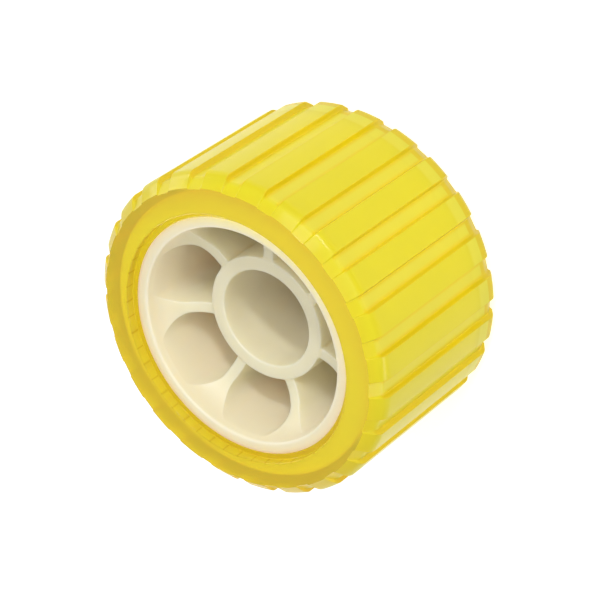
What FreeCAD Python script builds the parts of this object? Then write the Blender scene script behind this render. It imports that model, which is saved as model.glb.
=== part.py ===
import FreeCAD, Part
import math
import os
import Sketcher

# Ribbed roller stood on its end: +Z along its axis, lower end on Z = 0.
# Two mouldings: a stiff spoked hub and the soft ribbed tread moulded round it.
# Lengths are millimetres, angles degrees.

doc = FreeCAD.newDocument("RibbedRoller")

sheet = doc.addObject("Spreadsheet::Sheet", "Sizes")
given = [
    ("tread_diameter", "127", "over the ribs"),
    ("tread_length", "76.2", "end face to end face"),
    ("rib_count", "24", "raised ribs, evenly spaced"),
    ("groove_depth", "2", "rib top to groove floor"),
    ("groove_floor", "5.8", "width of a groove at its floor"),
    ("groove_mouth", "7.3", "width of a groove at the rib tops"),
    ("rib_bevel_in", "2.8", "bevel at a rib end, measured inwards"),
    ("rib_bevel_along", "3.4", "bevel at a rib end, measured along the axis"),
    ("facet_in", "1.3", "run-out at a groove end, measured inwards"),
    ("facet_along", "4.4", "run-out at a groove end, measured along the axis"),
    ("lip_ledge", "2", "ledge of the tread round the rim, inside its lip"),
    ("hub_drop", "3.5", "end face of the tread down to the rim of the hub"),
    ("rim_radius", "46.8", "outside of the hub rim"),
    ("rim_wall", "4.7", "thickness of the hub rim"),
    ("rim_edge", "0.6", "bevel on the inner edge of the rim"),
    ("flange_cover", "5.6", "rubber between the keeper flange and a groove floor"),
    ("flange_drop", "8", "end face of the tread down to the flange"),
    ("flange_wall", "3", "thickness of the flange"),
    ("bore_radius", "19.05", "through bore"),
    ("boss_wall", "5.45", "thickness of the boss"),
    ("boss_drop", "15.7", "rim face down to the boss face"),
    ("bore_edge", "0.6", "bevel at the mouth of the bore"),
    ("web_count", "7", "webs between the boss and the rim"),
    ("web_wall", "4.3", "thickness of a web"),
    ("web_turn", "-3", "angle of the first web from +X"),
    ("web_step", "0.6", "boss face down to the web edge"),
    ("web_flat", "2.6", "flat part of the web edge, beside the boss"),
    ("scoop_flare", "0.2", "reach of the hollow web edge into the rim wall"),
    ("rim_corner", "6.5", "corner of a pocket at the rim"),
    ("boss_corner", "1.2", "corner of a pocket at the boss"),
    ("overrun", "1", "how far a cut runs past the surface"),
]
worked_out = [
    ("tread_radius", "=tread_diameter / 2"),
    ("floor_radius", "=tread_radius - groove_depth"),
    ("rib_end_radius", "=tread_radius - rib_bevel_in"),
    ("rib_low", "=rib_bevel_along"),
    ("rib_high", "=tread_length - rib_bevel_along"),
    ("cut_radius", "=tread_radius + overrun"),
    ("floor_half", "=groove_floor / 2"),
    ("cut_half", "=groove_mouth / 2 + (groove_mouth - groove_floor) / 2 / groove_depth * overrun"),
    ("facet_foot", "=tread_length - facet_along"),
    ("facet_top", "=tread_length + overrun"),
    ("facet_top_radius", "=floor_radius - facet_in * (1 + overrun / facet_along)"),
    ("lip_radius", "=rim_radius + lip_ledge"),
    ("flange_radius", "=floor_radius - flange_cover"),
    ("boss_radius", "=bore_radius + boss_wall"),
    ("boss_middle", "=bore_radius + boss_wall / 2"),
    ("rim_low", "=hub_drop"),
    ("rim_high", "=tread_length - hub_drop"),
    ("rim_inside", "=rim_radius - rim_wall"),
    ("rim_mouth", "=rim_inside + rim_edge"),
    ("rim_edge_low", "=rim_low + rim_edge"),
    ("rim_edge_high", "=rim_high - rim_edge"),
    ("flange_low", "=flange_drop"),
    ("flange_low_top", "=flange_drop + flange_wall"),
    ("flange_high", "=tread_length - flange_drop"),
    ("flange_high_foot", "=flange_high - flange_wall"),
    ("boss_low", "=hub_drop + boss_drop"),
    ("boss_high", "=tread_length - hub_drop - boss_drop"),
    ("bore_mouth", "=bore_radius + bore_edge"),
    ("bore_low", "=boss_low + bore_edge"),
    ("bore_high", "=boss_high - bore_edge"),
    ("web_low", "=boss_low + web_step"),
    ("web_high", "=boss_high - web_step"),
    ("scoop_start", "=boss_radius + web_flat"),
    ("scoop_reach", "=rim_inside + scoop_flare"),
    ("scoop_radius", "=scoop_reach - scoop_start"),
    ("scoop_low", "=web_low - scoop_radius"),
    ("scoop_high", "=web_high + scoop_radius"),
    ("web_half", "=web_wall / 2"),
    ("web_block", "=web_wall + 2 * rim_corner"),
    ("half_pitch", "=180 / web_count"),
    ("pocket_turn", "=web_turn + half_pitch"),
]
for row, (name, value, note) in enumerate(given, start=1):
    sheet.set("A%d" % row, name)
    sheet.set("B%d" % row, value)
    sheet.set("C%d" % row, note)
    sheet.setAlias("B%d" % row, name)
for row, (name, formula) in enumerate(worked_out, start=len(given) + 1):
    sheet.set("A%d" % row, name)
    sheet.set("B%d" % row, formula)
    sheet.setAlias("B%d" % row, name)
doc.recompute()

FULL_TURN = 360

# The three points of a curve, a sketch's horizontal axis and its origin point.
START, END, CENTRE = range(1, 4)
LEVEL, ORIGIN = -1, (-1, START)
UPRIGHT = FreeCAD.Vector(0, 1, 0)
FACING = FreeCAD.Vector(0, 0, 1)


def size(name):
    """Value of a named size."""
    return float(sheet.get(name))


def height(name):
    """Height for a name as outline takes it."""
    if name is None:
        return 0.0
    return -size(name[1:]) if name.startswith("-") else size(name)


def own(body, role):
    """The plane or axis of a body that has this role."""
    return next(o for o in body.Origin.OriginFeatures if o.Role == role)


def new_body(name, label):
    body = doc.addObject("PartDesign::Body", name)
    body.Label = label
    body.Placement = FreeCAD.Placement()
    return body


def new_sketch(body, name, role):
    sketch = body.newObject("Sketcher::SketchObject", name)
    sketch.AttachmentSupport = [(own(body, role), "")]
    sketch.MapMode = "FlatFace"
    return sketch


def turned(axis, name):
    """Placement that turns a sketch about one of its own axes by a named angle."""
    return FreeCAD.Placement(FreeCAD.Vector(), FreeCAD.Rotation(axis, size(name)))


def tie(sketch, constraint, name):
    """Adds a constraint that follows a named size."""
    index = sketch.addConstraint(constraint)
    sketch.setExpression("Constraints[%d]" % index, "Sizes." + name)


def sound(feature):
    """Stops the build where a feature has failed."""
    if "Invalid" in feature.State or "Error" in feature.State:
        raise RuntimeError(feature.Name + " has failed")
    if not feature.Shape.isValid() or feature.Shape.Volume <= 0:
        raise RuntimeError(feature.Name + " has no sound shape")


def short_arc(middle, start, finish):
    """The short arc about middle, and which of its ends is at start and at finish."""
    circle = Part.Circle(middle, FACING, start.distanceToPoint(middle))
    first = math.atan2(start.y - middle.y, start.x - middle.x)
    last = math.atan2(finish.y - middle.y, finish.x - middle.x)
    sweep = (last - first) % (2 * math.pi)
    if sweep < math.pi:
        return Part.ArcOfCircle(circle, first, first + sweep), (START, END)
    return Part.ArcOfCircle(circle, last, last + 2 * math.pi - sweep), (END, START)


def outline(sketch, corners, arcs):
    """Closed outline through corners given as pairs of size names.

    The second name is None for a corner on the horizontal axis, and starts with
    a minus sign for one below it. arcs maps the number of a side to the size
    names of its radius, centre across and centre up.
    """
    spots = [FreeCAD.Vector(size(name_x), height(name_y), 0) for name_x, name_y in corners]
    ends = []
    for side, start in enumerate(spots):
        finish = spots[(side + 1) % len(spots)]
        if side in arcs:
            radius, middle_x, middle_y = arcs[side]
            middle = FreeCAD.Vector(size(middle_x), size(middle_y), 0)
            arc, order = short_arc(middle, start, finish)
            sketch.addGeometry(arc, False)
            ends.append(order)
        else:
            sketch.addGeometry(Part.LineSegment(start, finish), False)
            ends.append((START, END))
    for side in range(len(spots)):
        after = (side + 1) % len(spots)
        joint = Sketcher.Constraint("Coincident", side, ends[side][1], after, ends[after][0])
        sketch.addConstraint(joint)
    for side, (name_x, name_y) in enumerate(corners):
        point = ends[side][0]
        tie(sketch, Sketcher.Constraint("DistanceX", *ORIGIN, side, point, size(name_x)), name_x)
        if name_y is None:
            sketch.addConstraint(Sketcher.Constraint("PointOnObject", side, point, LEVEL))
        elif name_y.startswith("-"):
            below = name_y[1:]
            tie(sketch, Sketcher.Constraint("DistanceY", side, point, *ORIGIN, size(below)), below)
        else:
            tie(sketch, Sketcher.Constraint("DistanceY", *ORIGIN, side, point, size(name_y)), name_y)
    for side, (radius, middle_x, middle_y) in arcs.items():
        tie(sketch, Sketcher.Constraint("Radius", side, size(radius)), radius)


def turn(body, name, sketch):
    """Solid of revolution about the roller's axis."""
    solid = body.newObject("PartDesign::Revolution", name)
    solid.Profile = sketch
    solid.ReferenceAxis = (own(body, "Z_Axis"), [""])
    solid.Angle = FULL_TURN
    doc.recompute()
    sound(solid)
    return solid


def block(body, name, sketch, wide):
    """Solid of a named width about its sketch's plane."""
    pad = body.newObject("PartDesign::Pad", name)
    pad.Profile = sketch
    pad.Length = size(wide)
    pad.setExpression("Length", "Sizes." + wide)
    pad.Midplane = True
    doc.recompute()
    sound(pad)
    return pad


def cut(body, name, sketch, wide=None):
    """Pocket up through everything, or to a named width about its own plane."""
    before = body.Shape.Volume
    pocket = body.newObject("PartDesign::Pocket", name)
    pocket.Profile = sketch
    if wide:
        pocket.Type = "Length"
        pocket.Length = size(wide)
        pocket.setExpression("Length", "Sizes." + wide)
        pocket.Midplane = True
    else:
        pocket.Type = "ThroughAll"
        pocket.Reversed = True
    doc.recompute()
    sound(pocket)
    if pocket.Shape.Volume >= before:
        raise RuntimeError(name + " took nothing away")
    return pocket


def ring(body, name, features, count):
    """Features repeated evenly round the roller's axis."""
    pattern = body.newObject("PartDesign::PolarPattern", name)
    pattern.Originals = features
    pattern.Axis = (own(body, "Z_Axis"), [""])
    pattern.Angle = FULL_TURN
    pattern.Occurrences = int(size(count))
    pattern.setExpression("Occurrences", "Sizes." + count)
    body.Tip = pattern
    doc.recompute()
    sound(pattern)
    return pattern


# The hub: one stiff moulding. Rim with two keeper flanges, boss with the bore,
# and between them a disc that the pockets turn into webs.
hub = new_body("Hub", "hub")
hub_section = new_sketch(hub, "HubSection", "XZ_Plane")
outline(
    hub_section,
    [
        ("bore_radius", "bore_low"),
        ("bore_radius", "bore_high"),
        ("bore_mouth", "boss_high"),
        ("boss_radius", "boss_high"),
        ("boss_radius", "web_high"),
        ("rim_inside", "web_high"),
        ("rim_inside", "rim_edge_high"),
        ("rim_mouth", "rim_high"),
        ("rim_radius", "rim_high"),
        ("rim_radius", "flange_high"),
        ("flange_radius", "flange_high"),
        ("flange_radius", "flange_high_foot"),
        ("rim_radius", "flange_high_foot"),
        ("rim_radius", "flange_low_top"),
        ("flange_radius", "flange_low_top"),
        ("flange_radius", "flange_low"),
        ("rim_radius", "flange_low"),
        ("rim_radius", "rim_low"),
        ("rim_mouth", "rim_low"),
        ("rim_inside", "rim_edge_low"),
        ("rim_inside", "web_low"),
        ("boss_radius", "web_low"),
        ("boss_radius", "boss_low"),
        ("bore_mouth", "boss_low"),
    ],
    {},
)
turn(hub, "HubBlank", hub_section)

# A block that is cut down to one web. Its end edges are flat beside the boss
# and rise in a hollow curve to the rim.
web_section = new_sketch(hub, "WebSection", "XZ_Plane")
web_section.AttachmentOffset = turned(UPRIGHT, "web_turn")
web_section.setExpression(".AttachmentOffset.Rotation.Angle", "Sizes.web_turn * 1deg")
outline(
    web_section,
    [
        ("boss_middle", "web_high"),
        ("scoop_start", "web_high"),
        ("scoop_reach", "scoop_high"),
        ("scoop_reach", "scoop_low"),
        ("scoop_start", "web_low"),
        ("boss_middle", "web_low"),
    ],
    {
        1: ("scoop_radius", "scoop_start", "scoop_high"),
        3: ("scoop_radius", "scoop_start", "scoop_low"),
    },
)
web_blank = block(hub, "WebBlank", web_section, "web_block")
ring(hub, "WebBlanks", [web_blank], "web_count")

# One pocket between two webs: a sector of the space between boss and rim, its
# sides parallel to the webs and its four corners rounded.
pocket_plan = new_sketch(hub, "PocketPlan", "XY_Plane")
pocket_plan.AttachmentOffset = turned(FACING, "pocket_turn")
pocket_plan.setExpression(".AttachmentOffset.Rotation.Angle", "Sizes.pocket_turn * 1deg")
boss_r = size("boss_radius")
rim_r = size("rim_inside")
web_half = size("web_half")
rim_c = size("rim_corner")
boss_c = size("boss_corner")
lean = math.radians(size("half_pitch"))
along = FreeCAD.Vector(math.cos(lean), math.sin(lean), 0)
inward = FreeCAD.Vector(math.sin(lean), -math.cos(lean), 0)


def mirror(point):
    """The same point on the other side of the pocket's middle line."""
    return FreeCAD.Vector(point.x, -point.y, 0)


outer_run = math.sqrt((rim_r - rim_c) ** 2 - (web_half + rim_c) ** 2)
outer_centre = along * outer_run + inward * (web_half + rim_c)
outer_side = along * outer_run + inward * web_half
outer_rim = outer_centre * (rim_r / (rim_r - rim_c))
inner_run = math.sqrt((boss_r + boss_c) ** 2 - (web_half + boss_c) ** 2)
inner_centre = along * inner_run + inward * (web_half + boss_c)
inner_side = along * inner_run + inward * web_half
inner_boss = inner_centre * (boss_r / (boss_r + boss_c))
axis_point = FreeCAD.Vector()
walk = [
    (mirror(outer_rim), axis_point, "rim_inside"),
    (outer_rim, outer_centre, "rim_corner"),
    (outer_side, None, "web_half"),
    (inner_side, inner_centre, "boss_corner"),
    (inner_boss, axis_point, "boss_radius"),
    (mirror(inner_boss), mirror(inner_centre), "boss_corner"),
    (mirror(inner_side), None, "web_half"),
    (mirror(outer_side), mirror(outer_centre), "rim_corner"),
]
tips = []
straights = []
for number, (start, middle, name) in enumerate(walk):
    finish = walk[(number + 1) % len(walk)][0]
    if middle is None:
        pocket_plan.addGeometry(Part.LineSegment(start, finish), False)
        tips.append((START, END))
        straights.append(number)
    else:
        arc, order = short_arc(middle, start, finish)
        pocket_plan.addGeometry(arc, False)
        tips.append(order)
for number in range(len(walk)):
    after = (number + 1) % len(walk)
    meet = Sketcher.Constraint("Tangent", number, tips[number][1], after, tips[after][0])
    pocket_plan.addConstraint(meet)
for number, (start, middle, name) in enumerate(walk):
    if middle is None:
        tie(pocket_plan, Sketcher.Constraint("Distance", *ORIGIN, number, web_half), name)
        continue
    if middle is axis_point:
        pocket_plan.addConstraint(Sketcher.Constraint("Coincident", number, CENTRE, *ORIGIN))
    tie(pocket_plan, Sketcher.Constraint("Radius", number, size(name)), name)
upper_side, lower_side = straights
upper_angle = Sketcher.Constraint("Angle", LEVEL, START, upper_side, END, lean)
lower_angle = Sketcher.Constraint("Angle", lower_side, START, LEVEL, START, lean)
for angle in (upper_angle, lower_angle):
    index = pocket_plan.addConstraint(angle)
    pocket_plan.setExpression("Constraints[%d]" % index, "Sizes.half_pitch * 1deg")
doc.recompute()
pocket = cut(hub, "Pocket", pocket_plan)
ring(hub, "Pockets", [pocket], "web_count")

# The tread: one soft moulding that wraps the rim and its flanges, stands proud
# of the rim at both ends and carries the ribs.
tread = new_body("Tread", "tread")
tread_section = new_sketch(tread, "TreadSection", "XZ_Plane")
outline(
    tread_section,
    [
        ("lip_radius", None),
        ("rib_end_radius", None),
        ("tread_radius", "rib_low"),
        ("tread_radius", "rib_high"),
        ("rib_end_radius", "tread_length"),
        ("lip_radius", "tread_length"),
        ("lip_radius", "rim_high"),
        ("rim_radius", "rim_high"),
        ("rim_radius", "flange_high"),
        ("flange_radius", "flange_high"),
        ("flange_radius", "flange_high_foot"),
        ("rim_radius", "flange_high_foot"),
        ("rim_radius", "flange_low_top"),
        ("flange_radius", "flange_low_top"),
        ("flange_radius", "flange_low"),
        ("rim_radius", "flange_low"),
        ("rim_radius", "rim_low"),
        ("lip_radius", "rim_low"),
    ],
    {},
)
turn(tread, "TreadBlank", tread_section)

# One groove between two ribs, its sides leaning outwards.
groove_plan = new_sketch(tread, "GroovePlan", "XY_Plane")
floor_r = size("floor_radius")
cut_r = size("cut_radius")
floor_half = size("floor_half")
cut_half = size("cut_half")
corners = [
    FreeCAD.Vector(floor_r, -floor_half, 0),
    FreeCAD.Vector(cut_r, -cut_half, 0),
    FreeCAD.Vector(cut_r, cut_half, 0),
    FreeCAD.Vector(floor_r, floor_half, 0),
]
for number, corner in enumerate(corners):
    groove_plan.addGeometry(Part.LineSegment(corner, corners[(number + 1) % len(corners)]), False)
for number in range(len(corners)):
    after = (number + 1) % len(corners)
    groove_plan.addConstraint(Sketcher.Constraint("Coincident", number, END, after, START))
low_lean, mouth, high_lean, floor = range(len(corners))
groove_plan.addConstraint(Sketcher.Constraint("Symmetric", low_lean, START, high_lean, END, LEVEL))
groove_plan.addConstraint(Sketcher.Constraint("Symmetric", low_lean, END, high_lean, START, LEVEL))
for point, name_x, name_y in ((END, "floor_radius", "floor_half"), (START, "cut_radius", "cut_half")):
    tie(groove_plan, Sketcher.Constraint("DistanceX", *ORIGIN, high_lean, point, size(name_x)), name_x)
    tie(groove_plan, Sketcher.Constraint("DistanceY", *ORIGIN, high_lean, point, size(name_y)), name_y)
groove = cut(tread, "Groove", groove_plan)

# Run-outs: the groove floor slopes down towards the axis at both ends.
facet_high_section = new_sketch(tread, "FacetHighSection", "XZ_Plane")
outline(
    facet_high_section,
    [("floor_radius", "facet_foot"), ("cut_radius", "facet_top"), ("facet_top_radius", "facet_top")],
    {},
)
facet_high = cut(tread, "FacetHigh", facet_high_section, "groove_floor")
facet_low_section = new_sketch(tread, "FacetLowSection", "XZ_Plane")
outline(
    facet_low_section,
    [("floor_radius", "facet_along"), ("cut_radius", "-overrun"), ("facet_top_radius", "-overrun")],
    {},
)
facet_low = cut(tread, "FacetLow", facet_low_section, "groove_floor")
ring(tread, "Grooves", [groove, facet_high, facet_low], "rib_count")

os.makedirs("parts", exist_ok=True)
for body in (hub, tread):
    if len(body.Shape.Solids) != 1:
        raise RuntimeError(body.Label + " is not one solid")
    body.Shape.exportStep("parts/%s.step" % body.Label)
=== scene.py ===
import math

import bmesh
import bpy
from mathutils import Matrix, Vector


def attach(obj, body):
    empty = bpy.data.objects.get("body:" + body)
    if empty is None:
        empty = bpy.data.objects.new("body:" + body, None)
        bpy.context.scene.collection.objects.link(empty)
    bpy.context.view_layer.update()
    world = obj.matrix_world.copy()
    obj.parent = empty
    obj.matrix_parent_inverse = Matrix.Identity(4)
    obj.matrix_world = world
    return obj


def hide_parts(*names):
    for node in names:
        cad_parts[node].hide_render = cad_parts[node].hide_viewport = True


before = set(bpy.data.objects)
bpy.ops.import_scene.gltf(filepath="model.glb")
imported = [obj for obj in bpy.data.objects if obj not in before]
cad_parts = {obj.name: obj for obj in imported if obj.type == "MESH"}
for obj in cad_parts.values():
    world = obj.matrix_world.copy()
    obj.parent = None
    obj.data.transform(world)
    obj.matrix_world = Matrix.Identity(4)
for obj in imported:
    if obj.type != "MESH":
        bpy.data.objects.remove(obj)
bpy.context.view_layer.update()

scene = bpy.context.scene

# Camera: a long lens 0.88 m away, looking down on the open end of the roller
# from 44 degrees, rolled so that the roller's axis runs to the lower left.
camera_data = bpy.data.cameras.new("camera")
camera_data.sensor_width = 36
camera_data.lens = 144.35
camera_data.clip_start = 0.05
camera_data.clip_end = 20
camera = bpy.data.objects.new("camera", camera_data)
scene.collection.objects.link(camera)
scene.camera = camera
camera.matrix_world = Matrix((
    (-0.01578, 0.86497, 0.50158, 0.44102),
    (-0.80876, 0.28392, -0.51506, -0.45523),
    (-0.58792, -0.41379, 0.69508, 0.65019),
    (0, 0, 0, 1),
))

# Hub: one hard moulding in cream nylon, with a rim, seven webs and a boss. The
# end edges of the webs are hollowed to a bowl. Two flanges stand in the tread.
MM = 0.001
LENGTH = 76.2
MIDDLE = LENGTH / 2
WEBS = 7
WEB_TOP = 56.4
WEB_HALF = 2.15
HALF_PITCH = math.pi / WEBS
POCKET_TURN = math.radians(22.714)
POCKET_EDGE = 0.55
BORE_R = 19.05
BORE_CORNER = 0.7
BORE_ROWS = (50.0, 44.0, MIDDLE)
BOSS_R = 24.5
BOSS_TOP = 57.0
BOSS_CORNER = 1.2
BOSS_FACE_R = 21.5
BOSS_RING_R = 23.4
BOSS_RISE = BOSS_TOP - WEB_TOP
RISE_IN = 24.1
RISE_OUT = 25.0
SCOOP_R = 15.2
SCOOP_START = 27.1
SCOOP_TOP = WEB_TOP + SCOOP_R
SCOOP_OUT = SCOOP_START + SCOOP_R
SCOOP_END = SCOOP_START + SCOOP_R * math.pi / 2
RIM_IN = 42.1
RIM_OUT = 46.8
RIM_TOP = 72.7
RIM_CORNER = 6.5
RIM_ROUND_IN = 1.0
RIM_ROUND_OUT = 0.4
RIM_FACE_ROWS = (44.6, 45.6)
RIM_WALL_ROWS = (52.0, MIDDLE)
FLANGE_R = 55.9
FLANGE_TOP = 68.2
FLANGE_FOOT = 65.2
FLANGE_ROUND = 0.4
FLANGE_ROOT = 0.2
FLANGE_FACE_R = 51.5


def between(first, last, share):
    """The value at a share of the way from one to another."""
    return first + (last - first) * share


def heading(turn):
    """Unit vector across the roller at a turn round its axis."""
    return Vector((math.cos(turn), math.sin(turn)))


def along_bowl(radius):
    """Distance along the bowl of the hub from its axis, for a radius."""
    if radius <= SCOOP_START:
        return radius
    return SCOOP_START + SCOOP_R * math.asin(min(1, (radius - SCOOP_START) / SCOOP_R))


def bowl(distance):
    """Radius, height and slope of the bowl at a distance along it."""
    if distance <= SCOOP_START:
        share = min(1, max(0, (distance - RISE_IN) / (RISE_OUT - RISE_IN)))
        height = BOSS_TOP - BOSS_RISE * share * share * (3 - 2 * share)
        return distance, height, -BOSS_RISE * 6 * share * (1 - share) / (RISE_OUT - RISE_IN)
    angle = (distance - SCOOP_START) / SCOOP_R
    radius = SCOOP_START + SCOOP_R * math.sin(angle)
    return radius, SCOOP_TOP - SCOOP_R * math.cos(angle), math.tan(angle)


def lay_rows(mesh, rows):
    """Closed rings of points in millimetres, with a strip of quads from each ring to the next."""
    made = [[mesh.verts.new(Vector(point) * MM) for point in row] for row in rows]
    count = len(rows[0])
    for upper, lower in zip(made, made[1:]):
        for i in range(count):
            j = (i + 1) % count
            mesh.faces.new((upper[i], upper[j], lower[j], lower[i]))


def moulding(name, mesh):
    """One smooth piece from strips that meet edge to edge."""
    bmesh.ops.remove_doubles(mesh, verts=mesh.verts, dist=2e-7)
    bmesh.ops.recalc_face_normals(mesh, faces=mesh.faces)
    for face in mesh.faces:
        face.smooth = True
    data = bpy.data.meshes.new(name)
    mesh.to_mesh(data)
    mesh.free()
    piece = bpy.data.objects.new(name, data)
    scene.collection.objects.link(piece)
    return piece


def rounding(centre, radius, first, last, steps):
    """Points of a rounded corner from one angle in degrees to another, as pairs."""
    turns = [math.radians(between(first, last, i / steps)) for i in range(steps + 1)]
    return [(centre[0] + radius * math.cos(turn), centre[1] + radius * math.sin(turn)) for turn in turns]


def half_pocket():
    """Half the outline of a pocket from the rim to the boss.

    Each point has the normal into the wall and the place on the bowl where its strip ends.
    """
    along = heading(HALF_PITCH)
    inward = Vector((along.y, -along.x))
    side_turn = math.atan2(-inward.y, -inward.x)
    rim_run = math.sqrt((RIM_IN - RIM_CORNER) ** 2 - (WEB_HALF + RIM_CORNER) ** 2)
    rim_centre = along * rim_run + inward * (WEB_HALF + RIM_CORNER)
    rim_turn = math.atan2(rim_centre.y, rim_centre.x)
    boss_run = math.sqrt((BOSS_R + BOSS_CORNER) ** 2 - (WEB_HALF + BOSS_CORNER) ** 2)
    boss_centre = along * boss_run + inward * (WEB_HALF + BOSS_CORNER)
    boss_turn = math.atan2(boss_centre.y, boss_centre.x)
    rim_steps, rim_corner_steps, side_steps, boss_corner_steps, boss_steps = 10, 14, 9, 6, 6
    outline = []
    for i in range(rim_steps):
        turn = rim_turn * i / rim_steps
        outline.append((heading(turn) * RIM_IN, heading(turn), (turn, SCOOP_END)))
    for i in range(rim_corner_steps):
        share = i / rim_corner_steps
        normal = heading(between(rim_turn, side_turn, share))
        if share <= 0.5:
            edge = (between(rim_turn, HALF_PITCH, share * 2), SCOOP_END)
        else:
            edge = (HALF_PITCH, between(SCOOP_END, along_bowl(rim_run), share * 2 - 1))
        outline.append((rim_centre + normal * RIM_CORNER, normal, edge))
    for i in range(side_steps):
        run = between(rim_run, boss_run, i / side_steps)
        outline.append((along * run + inward * WEB_HALF, -inward, (HALF_PITCH, along_bowl(run))))
    for i in range(boss_corner_steps):
        share = i / boss_corner_steps
        normal = heading(between(side_turn, boss_turn + math.pi, share))
        if share <= 0.5:
            edge = (HALF_PITCH, between(along_bowl(boss_run), BOSS_RING_R, share * 2))
        else:
            edge = (between(HALF_PITCH, boss_turn, share * 2 - 1), BOSS_RING_R)
        outline.append((boss_centre + normal * BOSS_CORNER, normal, edge))
    for i in range(boss_steps + 1):
        turn = boss_turn * (1 - i / boss_steps)
        outline.append((heading(turn) * BOSS_R, -heading(turn), (turn, BOSS_RING_R)))
    return outline


def pocket_column(point, normal, edge_turn, edge_along):
    """Points up the wall of a pocket, round its edge, and over the bowl to the end of the strip."""
    height, slope = bowl(along_bowl(point.length))[1:]
    rise = math.atan(slope * normal.dot(point) / point.length)
    reach = POCKET_EDGE * math.tan((math.pi / 2 - rise) / 2)
    brow = point + normal * reach * math.cos(rise)
    brow_along = min(along_bowl(brow.length), SCOOP_END)
    brow_height = bowl(brow_along)[1]
    brow_turn = 0.0 if abs(edge_turn) < 1e-9 else math.atan2(brow.y, brow.x)
    wall_steps, edge_steps, bowl_steps = 6, 6, 7
    column = []
    for i in range(wall_steps + 1):
        column.append((point.x, point.y, between(MIDDLE, height - reach, i / wall_steps)))
    for i in range(1, edge_steps):
        share = i / edge_steps
        before, corner, after = (1 - share) ** 2, 2 * share * (1 - share), share * share
        spot = point * (before + corner) + brow * after
        column.append((spot.x, spot.y, (height - reach) * before + height * corner + brow_height * after))
    for i in range(bowl_steps + 1):
        share = i / bowl_steps
        radius, level = bowl(between(brow_along, edge_along, share))[:2]
        spot = heading(between(brow_turn, edge_turn, share)) * radius
        column.append((spot.x, spot.y, level))
    return column


upper_half = half_pocket()
lower_half = [
    (Vector((point.x, -point.y)), Vector((normal.x, -normal.y)), (-edge[0], edge[1]))
    for point, normal, edge in upper_half[-2:0:-1]
]
hub_mesh = bmesh.new()
rim_marks, boss_marks = set(), set()
for number in range(WEBS):
    centre_turn = POCKET_TURN + 2 * HALF_PITCH * number
    cosine, sine = math.cos(centre_turn), math.sin(centre_turn)
    columns = []
    for point, normal, (edge_turn, edge_along) in upper_half + lower_half:
        column = pocket_column(point, normal, edge_turn, edge_along)
        columns.append([(x * cosine - y * sine, x * sine + y * cosine, z) for x, y, z in column])
        if edge_along == SCOOP_END:
            rim_marks.add(round(centre_turn + edge_turn, 9))
        if edge_along == BOSS_RING_R:
            boss_marks.add(round(centre_turn + edge_turn, 9))
    rows = list(zip(*columns))
    lay_rows(hub_mesh, rows)
    lay_rows(hub_mesh, [[(x, y, LENGTH - z) for x, y, z in row] for row in rows])


def turns_once(marks):
    """Sorted turns of the pockets' strips, with those that meet counted once."""
    kept = []
    for turn in sorted(mark % (2 * math.pi) for mark in marks):
        if not kept or turn - kept[-1] > 1e-6:
            kept.append(turn)
    if kept[0] + 2 * math.pi - kept[-1] < 1e-6:
        kept.pop()
    return kept


def turned(mesh, profile, turns):
    """Surface of revolution through pairs of radius and height."""
    lay_rows(mesh, [[(r * math.cos(turn), r * math.sin(turn), z) for turn in turns] for r, z in profile])


rim_half = (
    [(SCOOP_OUT, SCOOP_TOP), (SCOOP_OUT, RIM_TOP - RIM_ROUND_IN)]
    + rounding((SCOOP_OUT + RIM_ROUND_IN, RIM_TOP - RIM_ROUND_IN), RIM_ROUND_IN, 180, 90, 7)[1:]
    + [(r, RIM_TOP) for r in RIM_FACE_ROWS]
    + rounding((RIM_OUT - RIM_ROUND_OUT, RIM_TOP - RIM_ROUND_OUT), RIM_ROUND_OUT, 90, 0, 4)
    + [(RIM_OUT, (RIM_TOP + FLANGE_TOP) / 2)]
    + rounding((RIM_OUT + FLANGE_ROOT, FLANGE_TOP + FLANGE_ROOT), FLANGE_ROOT, 180, 270, 2)
    + [(FLANGE_FACE_R, FLANGE_TOP)]
    + rounding((FLANGE_R - FLANGE_ROUND, FLANGE_TOP - FLANGE_ROUND), FLANGE_ROUND, 90, 0, 3)
    + rounding((FLANGE_R - FLANGE_ROUND, FLANGE_FOOT + FLANGE_ROUND), FLANGE_ROUND, 0, -90, 3)
    + [(FLANGE_FACE_R, FLANGE_FOOT)]
    + rounding((RIM_OUT + FLANGE_ROOT, FLANGE_FOOT - FLANGE_ROOT), FLANGE_ROOT, 90, 180, 2)
    + [(RIM_OUT, z) for z in RIM_WALL_ROWS]
)
bore_half = (
    [(BOSS_RING_R, BOSS_TOP), (BOSS_FACE_R, BOSS_TOP)]
    + rounding((BORE_R + BORE_CORNER, BOSS_TOP - BORE_CORNER), BORE_CORNER, 90, 180, 5)
    + [(BORE_R, z) for z in BORE_ROWS]
)
for half, marks in ((rim_half, rim_marks), (bore_half, boss_marks)):
    turned(hub_mesh, half, turns_once(marks))
    turned(hub_mesh, [(r, LENGTH - z) for r, z in half], turns_once(marks))
hub = moulding("moulded_hub", hub_mesh)
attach(hub, "root")
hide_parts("hub")

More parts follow.
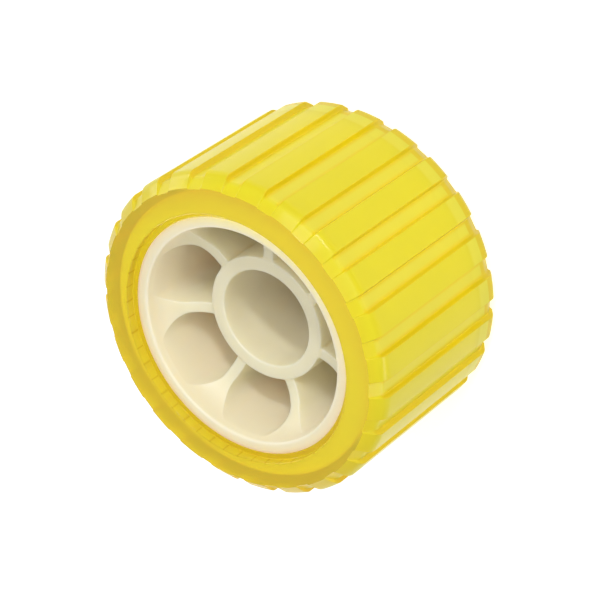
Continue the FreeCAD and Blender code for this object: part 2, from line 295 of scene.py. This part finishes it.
nylon = bpy.data.materials.new("cream nylon")
nylon.use_nodes = True
nodes, links = nylon.node_tree.nodes, nylon.node_tree.links
shader = nodes["Principled BSDF"]
shader.inputs["Roughness"].default_value = 0.42
shader.inputs["IOR"].default_value = 1.5
shader.inputs["Subsurface Weight"].default_value = 1.0
shader.inputs["Subsurface Radius"].default_value = (1.0, 0.95, 0.8)
shader.inputs["Subsurface Scale"].default_value = 0.004
where = nodes.new("ShaderNodeTexCoord")
flow = nodes.new("ShaderNodeTexNoise")
flow.inputs["Scale"].default_value = 35
flow.inputs["Detail"].default_value = 4
links.new(where.outputs["Object"], flow.inputs["Vector"])
tint = nodes.new("ShaderNodeMix")
tint.data_type = "RGBA"
tint.inputs["A"].default_value = (0.90, 0.84, 0.63, 1)
tint.inputs["B"].default_value = (0.94, 0.88, 0.68, 1)
links.new(flow.outputs["Fac"], tint.inputs["Factor"])
links.new(tint.outputs["Result"], shader.inputs["Base Color"])
grain = nodes.new("ShaderNodeTexNoise")
grain.inputs["Scale"].default_value = 2600
grain.inputs["Detail"].default_value = 2
links.new(where.outputs["Object"], grain.inputs["Vector"])
bump = nodes.new("ShaderNodeBump")
bump.inputs["Strength"].default_value = 0.08
bump.inputs["Distance"].default_value = 0.0002
links.new(grain.outputs["Fac"], bump.inputs["Height"])
links.new(bump.outputs["Normal"], shader.inputs["Normal"])
hub.data.materials.append(nylon)

# Tread: one soft moulding in clear yellow thermoplastic rubber, cast round the
# rim and flanges of the hub. It stands proud of the rim, and its ribs taper off.
RIBS = 24
TREAD_R = 63.5
FLOOR_R = 61.5
FLOOR_HALF = 2.9
WALL_LEAN = 2 / 0.75
FLOOR_ROUND = 0.35
CREASE_ROUND = 0.7
BROW_ROUND = 0.4
# How far the ribs and the groove floors fall towards the axis at an end, and over what length.
UPPER_END = {"bevel_in": 4.8, "bevel_along": 4.4, "bevel_round": 2.2, "floor_in": 3.2, "floor_along": 4.4}
LOWER_END = {"bevel_in": 2.8, "bevel_along": 3.4, "bevel_round": 1.0, "floor_in": 1.9, "floor_along": 4.4}
SEAT_R = 46.6
LIP_R = 48.8
LIP_ROUND = 0.6
LEDGE = 3.5
LEDGE_ROUND = 0.3
END_EDGE = 0.12
FACE_SHARES = (0.15, 0.4, 0.7, 0.92)


def soft_least(a, b, blend):
    """The lesser of two lengths, with the corner between them rounded."""
    near = max(blend - abs(a - b), 0) / blend
    return min(a, b) - near * near * blend / 4


def soft_most(a, b, blend):
    """The greater of two lengths, with the corner between them rounded."""
    return -soft_least(-a, -b, blend)


def tread_radius(turn, inset, end):
    """Outside of the tread, by the turn from the middle of a groove and the way in from an end."""
    bevel = TREAD_R - end["bevel_in"] + end["bevel_in"] * inset / end["bevel_along"]
    slope = FLOOR_R - end["floor_in"] + end["floor_in"] * inset / end["floor_along"]
    land = soft_least(TREAD_R, bevel, end["bevel_round"])
    foot = soft_least(FLOOR_R, slope, FLOOR_ROUND)
    cosine, sine = math.cos(turn), abs(math.sin(turn))
    wall = (foot - FLOOR_HALF * WALL_LEAN) / (cosine - WALL_LEAN * sine)
    return soft_least(land, soft_most(foot / cosine, wall, CREASE_ROUND), BROW_ROUND)


def seat_rows():
    """Radius and inset of the rows from the middle of the seat over the ledge and up the lip."""
    rows = [(SEAT_R, MIDDLE), (SEAT_R, 20.0), (SEAT_R, LEDGE), (SEAT_R + 0.6, LEDGE)]
    rows.append((LIP_R - LEDGE_ROUND - 0.05, LEDGE))
    rows += rounding((LIP_R - LEDGE_ROUND, LEDGE - LEDGE_ROUND), LEDGE_ROUND, 90, 0, 2)
    return rows + rounding((LIP_R + LIP_ROUND, LIP_ROUND), LIP_ROUND, 180, 270, 5)


# Degrees from the middle of a groove to the middle of a rib, closest where the wall stands.
half_rib = [
    0, 0.8, 1.3, 1.8, 2.2, 2.42, 2.56, 2.66, 2.74, 2.82, 2.9, 3.0, 3.1,
    3.19, 3.28, 3.38, 3.5, 3.7, 4.1, 4.9, 6.1, 7.0, 7.5,
]
# Way in of each ring of points from an end, closest where the ribs taper.
insets = [
    END_EDGE, 0.3, 0.55, 0.9, 1.4, 1.9, 2.3, 2.65, 3.0, 3.3, 3.6, 3.9, 4.2, 4.5, 4.8, 5.2,
    5.7, 6.4, 6.7, 7.0, 9.0, 11.5, 12.2, 13.0, 16, 20, 28, MIDDLE,
]
one_rib = [-degrees for degrees in half_rib[:0:-1]] + half_rib[:-1]
round_tread = [
    (math.radians(360 / RIBS * number + degrees), math.radians(degrees))
    for number in range(RIBS) for degrees in one_rib
]
tread_mesh = bmesh.new()
for end, foot_z, way in ((UPPER_END, LENGTH, -1), (LOWER_END, 0, 1)):
    rows = [[row] * len(round_tread) for row in seat_rows()]
    brinks = [tread_radius(in_rib, END_EDGE, end) for turn, in_rib in round_tread]
    for share in FACE_SHARES:
        rows.append([(between(LIP_R, brink, share), 0) for brink in brinks])
    rows.append([(brink - 0.22, 0) for brink in brinks])
    rows.append([(brink - 0.07, 0.03) for brink in brinks])
    for inset in insets:
        rows.append([(tread_radius(in_rib, inset, end), inset) for turn, in_rib in round_tread])
    lay_rows(tread_mesh, [
        [
            (r * math.cos(turn), r * math.sin(turn), foot_z + way * inset)
            for (r, inset), (turn, in_rib) in zip(row, round_tread)
        ]
        for row in rows
    ])
tread = moulding("ribbed_tread", tread_mesh)
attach(tread, "root")
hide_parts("tread")

# Where each tint, painted shade and painted light begins and ends: radius, way in from an end, or way
# across from a groove's middle.
OUTSIDE_FADE = (57, 58)
BEVEL_FADE = (3.0, 4.2)
LOWER_SHADE_FADE = (6.4, 7.0)
LOWER_LIGHT_FADE = (11.5, 13.0)
WALL_SHADE_IN = (1.2, 2.9)
WALL_SHADE_OUT = (3.6, 4.0)
FLOOR_FADE = (2.6, 2.9)
LIP_OUT = LIP_R + 0.7
# Dark ticks on the lip wall are painted shadows of the rib walls seen through the rubber. The ledge under
# the lip is painted darker as shade.
TICK_PITCH = 7.5
TICK_FADE = (0.1, 0.5)
TICK_SHADE = 0.7
LEDGE_SHADE = 0.4
FACE_DEPTH = 0.02


def fade(value, low, high):
    """Smooth rise from 0 to 1 between two values."""
    share = min(1, max(0, (value - low) / (high - low)))
    return share * share * (3 - 2 * share)


paint = {}
for vertex in tread.data.vertices:
    x, y, z = vertex.co / MM
    radius = math.hypot(x, y)
    in_rib = (math.atan2(y, x) + math.pi / RIBS) % (2 * math.pi / RIBS) - math.pi / RIBS
    across = radius * abs(math.sin(in_rib))
    inset = min(z, LENGTH - z)
    outside = fade(radius, *OUTSIDE_FADE) * fade(inset, 0.0, 0.1)
    bevel, lower_shade, lower_light = 1 - fade(inset, *BEVEL_FADE), 0, 0
    # Only the lower end gets a darker amber band, with a paler band above it: painted shade and painted
    # light that stand for the far end seen through the clear rubber.
    if z < MIDDLE:
        bevel, lower_shade = 0, 1 - fade(inset, *LOWER_SHADE_FADE)
        lower_light = (1 - lower_shade) * (1 - fade(inset, *LOWER_LIGHT_FADE))
    # The groove walls are painted darker amber as shade in the grooves, but not on the rib ends.
    wall = (1 - bevel) * fade(across, *WALL_SHADE_IN) * (1 - fade(across, *WALL_SHADE_OUT))
    lip = 1 - fade(radius, LIP_R + 0.1, LIP_OUT)
    lip_wall = lip * fade(radius, LIP_R - 0.1, LIP_R)
    from_tick = abs((math.degrees(in_rib) + TICK_PITCH / 2) % TICK_PITCH - TICK_PITCH / 2)
    lip_shadow = TICK_SHADE * lip_wall * (1 - fade(from_tick, *TICK_FADE)) + LEDGE_SHADE * (lip - lip_wall)
    for name, value in (
        ("groove_wall_shade", outside * wall),
        ("groove_floor", outside * (1 - fade(across, *FLOOR_FADE))),
        ("bevel_end", outside * bevel),
        ("lower_end_light", outside * lower_light),
        ("lower_end_shade", outside * lower_shade),
        ("lip_wall", lip_wall),
        ("lip_shadows", lip_shadow),
    ):
        paint.setdefault(name, []).append(value)
for name, values in paint.items():
    tread.data.attributes.new(name, "FLOAT", "POINT").data.foreach_set("value", values)

skin_and_lamp_side = bpy.data.node_groups.new("moulded skin", "ShaderNodeTree")
skin_and_lamp_side.interface.new_socket("Wave Scale", in_out="INPUT", socket_type="NodeSocketFloat")
skin_and_lamp_side.interface.new_socket("Waves", in_out="OUTPUT", socket_type="NodeSocketFloat")
skin_and_lamp_side.interface.new_socket("Side Away From Lamps", in_out="OUTPUT", socket_type="NodeSocketFloat")
inlet = skin_and_lamp_side.nodes.new("NodeGroupInput")
outlet = skin_and_lamp_side.nodes.new("NodeGroupOutput")
where = skin_and_lamp_side.nodes.new("ShaderNodeTexCoord")
waves = skin_and_lamp_side.nodes.new("ShaderNodeTexNoise")
waves.inputs["Detail"].default_value = 5
waves.inputs["Roughness"].default_value = 0.62
skin_and_lamp_side.links.new(inlet.outputs["Wave Scale"], waves.inputs["Scale"])
skin_and_lamp_side.links.new(where.outputs["Object"], waves.inputs["Vector"])
skin_and_lamp_side.links.new(waves.outputs["Fac"], outlet.inputs["Waves"])
# Mask of the side of the roller away from the lamps, for painted light: there the colour stands for lamp
# light that has come a long way through the rubber.
sideways = skin_and_lamp_side.nodes.new("ShaderNodeVectorMath")
sideways.operation = "DOT_PRODUCT"
sideways.inputs[1].default_value = (-0.85, 0.52, 0)
skin_and_lamp_side.links.new(where.outputs["Object"], sideways.inputs[0])
away_ramp = skin_and_lamp_side.nodes.new("ShaderNodeMapRange")
away_ramp.interpolation_type = "SMOOTHSTEP"
away_ramp.inputs["From Min"].default_value = -0.05
away_ramp.inputs["From Max"].default_value = 0.06
skin_and_lamp_side.links.new(sideways.outputs["Value"], away_ramp.inputs["Value"])
skin_and_lamp_side.links.new(away_ramp.outputs["Result"], outlet.inputs["Side Away From Lamps"])


def clear_rubber(name, transmission, roughness):
    """Yellow rubber that takes light in and lets the lamps through: nodes, links, shader, and the mask of
    the side away from the lamps, where light through the rubber is painted.
    """
    rubber = bpy.data.materials.new(name)
    rubber.use_nodes = True
    nodes, links = rubber.node_tree.nodes, rubber.node_tree.links
    shader = nodes["Principled BSDF"]
    shader.inputs["Roughness"].default_value = roughness
    shader.inputs["IOR"].default_value = 1.38
    shader.inputs["Specular IOR Level"].default_value = 0.12
    shader.inputs["Transmission Weight"].default_value = transmission
    depth = nodes.new("ShaderNodeVolumeAbsorption")
    depth.inputs["Color"].default_value = (0.9997, 0.997, 0.02, 1)
    depth.inputs["Density"].default_value = 900
    links.new(depth.outputs["Volume"], nodes["Material Output"].inputs["Volume"])
    moulded = nodes.new("ShaderNodeGroup")
    moulded.node_tree = skin_and_lamp_side
    moulded.inputs["Wave Scale"].default_value = 190
    bump = nodes.new("ShaderNodeBump")
    bump.inputs["Strength"].default_value = 0.25
    bump.inputs["Distance"].default_value = 0.0003
    links.new(moulded.outputs["Waves"], bump.inputs["Height"])
    links.new(bump.outputs["Normal"], shader.inputs["Normal"])
    clear = nodes.new("ShaderNodeBsdfTransparent")
    lamps = nodes.new("ShaderNodeLightPath")
    passing = nodes.new("ShaderNodeMixShader")
    links.new(lamps.outputs["Is Shadow Ray"], passing.inputs[0])
    links.new(shader.outputs["BSDF"], passing.inputs[1])
    links.new(clear.outputs["BSDF"], passing.inputs[2])
    links.new(passing.outputs["Shader"], nodes["Material Output"].inputs["Surface"])
    tread.data.materials.append(rubber)
    return nodes, links, shader, moulded.outputs["Side Away From Lamps"]


def tinted(nodes, links, low, high, factor):
    """Colour between two, by a mask."""
    mix = nodes.new("ShaderNodeMix")
    mix.data_type = "RGBA"
    for socket, colour in (("A", low), ("B", high)):
        if isinstance(colour, tuple):
            mix.inputs[socket].default_value = (*colour, 1)
        else:
            links.new(colour, mix.inputs[socket])
    links.new(factor, mix.inputs["Factor"])
    return mix.outputs["Result"]


def painted(nodes, name):
    """Mask painted on the tread's mesh."""
    node = nodes.new("ShaderNodeAttribute")
    node.attribute_name = name
    return node.outputs["Fac"]


nodes, links, shader, side_away_from_lamps = clear_rubber("ribbed yellow rubber", 0.25, 0.32)
shader.inputs["Coat Weight"].default_value = 0.2
shader.inputs["Coat Roughness"].default_value = 0.08
colour = tinted(nodes, links, (0.76, 0.69, 0.02), (0.78, 0.72, 0.055), painted(nodes, "groove_floor"))
# Rib ends at the upper end are lemon on the lamp side and orange away from the lamps: painted light
# through the rubber.
bevel_colour = tinted(nodes, links, (0.78, 0.72, 0.025), (0.88, 0.68, 0.03), side_away_from_lamps)
colour = tinted(nodes, links, colour, bevel_colour, painted(nodes, "bevel_end"))
# Painted light: a paler band near the lower end.
colour = tinted(nodes, links, colour, (0.81, 0.76, 0.06), painted(nodes, "lower_end_light"))
# Painted shade: darker amber on the groove walls.
colour = tinted(nodes, links, colour, (0.78, 0.62, 0.012), painted(nodes, "groove_wall_shade"))
# Painted shade: a darker amber band at the lower end.
colour = tinted(nodes, links, colour, (0.77, 0.61, 0.02), painted(nodes, "lower_end_shade"))
links.new(colour, shader.inputs["Base Color"])

nodes, links, shader, side_away_from_lamps = clear_rubber("end yellow rubber", 0.5, 0.05)
# The end face is painted more orange on the side away from the lamps, as painted light through the
# rubber.
colour = tinted(nodes, links, (0.88, 0.87, 0.08), (1.0, 0.92, 0.06), side_away_from_lamps)
colour = tinted(nodes, links, colour, (0.84, 0.79, 0.05), painted(nodes, "lip_wall"))
# Painted shadows of the ribs on the lip wall, and painted shade on the ledge.
colour = tinted(nodes, links, colour, (0.62, 0.50, 0.02), painted(nodes, "lip_shadows"))
links.new(colour, shader.inputs["Base Color"])
for face in tread.data.polygons:
    centre = face.center / MM
    if min(centre.z, LENGTH - centre.z) < FACE_DEPTH or math.hypot(centre.x, centre.y) < LIP_OUT:
        face.material_index = 1

# Studio: a white floor that keeps a soft shadow, a white surround, a thin wide
# lamp with two soft ones above at the right, and three low ones around.
floor_mesh = bmesh.new()
bmesh.ops.create_grid(floor_mesh, x_segments=1, y_segments=1, size=3)
floor_data = bpy.data.meshes.new("floor")
floor_mesh.to_mesh(floor_data)
floor_mesh.free()
floor = bpy.data.objects.new("floor", floor_data)
scene.collection.objects.link(floor)
floor.location = (0, 0, -0.0002)
paper = bpy.data.materials.new("white paper")
paper.use_nodes = True
nodes, links = paper.node_tree.nodes, paper.node_tree.links
shader = nodes["Principled BSDF"]
shader.inputs["Base Color"].default_value = (0.8, 0.8, 0.8, 1)
shader.inputs["Roughness"].default_value = 1
shader.inputs["Specular IOR Level"].default_value = 0
shader.inputs["Emission Color"].default_value = (1, 1, 1, 1)
seen = nodes.new("ShaderNodeLightPath")
through = nodes.new("ShaderNodeMath")
through.operation = "MAXIMUM"
links.new(seen.outputs["Is Glossy Ray"], through.inputs[0])
links.new(seen.outputs["Is Transmission Ray"], through.inputs[1])
either = nodes.new("ShaderNodeMath")
either.operation = "MAXIMUM"
links.new(seen.outputs["Is Camera Ray"], either.inputs[0])
links.new(through.outputs[0], either.inputs[1])
glow = nodes.new("ShaderNodeMath")
glow.operation = "MULTIPLY"
glow.inputs[1].default_value = 0.6
links.new(either.outputs[0], glow.inputs[0])
links.new(glow.outputs[0], shader.inputs["Emission Strength"])
floor.data.materials.append(paper)

world = bpy.data.worlds.new("surround")
scene.world = world
world.use_nodes = True
nodes, links = world.node_tree.nodes, world.node_tree.links
sky = nodes["Background"]
sky.inputs["Color"].default_value = (1, 1, 1, 1)
seen = nodes.new("ShaderNodeLightPath")
level = nodes.new("ShaderNodeMapRange")
level.inputs["To Min"].default_value = 0.48
level.inputs["To Max"].default_value = 1.0
links.new(seen.outputs["Is Camera Ray"], level.inputs["Value"])
links.new(level.outputs["Result"], sky.inputs["Strength"])


def soft_lamp(name, place, size, watts):
    """Lamp with a wide and a tall side, aimed at the middle of the roller."""
    data = bpy.data.lights.new(name, "AREA")
    data.shape = "RECTANGLE"
    data.size, data.size_y = size
    data.energy = watts
    lamp = bpy.data.objects.new(name, data)
    scene.collection.objects.link(lamp)
    lamp.location = place
    aim = Vector((0, 0, MIDDLE * MM)) - Vector(place)
    lamp.rotation_euler = aim.to_track_quat("-Z", "Y").to_euler()


soft_lamp("key lamp", (1.06, -0.45, 0.66), (0.38, 0.06), 4.4)
soft_lamp("high lamp", (0.85, -0.16, 0.98), (0.5, 0.5), 3.2)
soft_lamp("front lamp", (0.62, -0.85, 0.88), (0.5, 0.5), 1.6)
soft_lamp("right lamp", (-0.45, -1.20, 0.24), (0.6, 0.4), 3.4)
soft_lamp("left lamp", (0.45, 1.20, 0.26), (0.6, 0.4), 3.2)
soft_lamp("back lamp", (-1.20, 0.45, 0.28), (0.6, 0.4), 4.0)

scene.view_settings.view_transform = "Standard"
scene.cycles.use_denoising = True
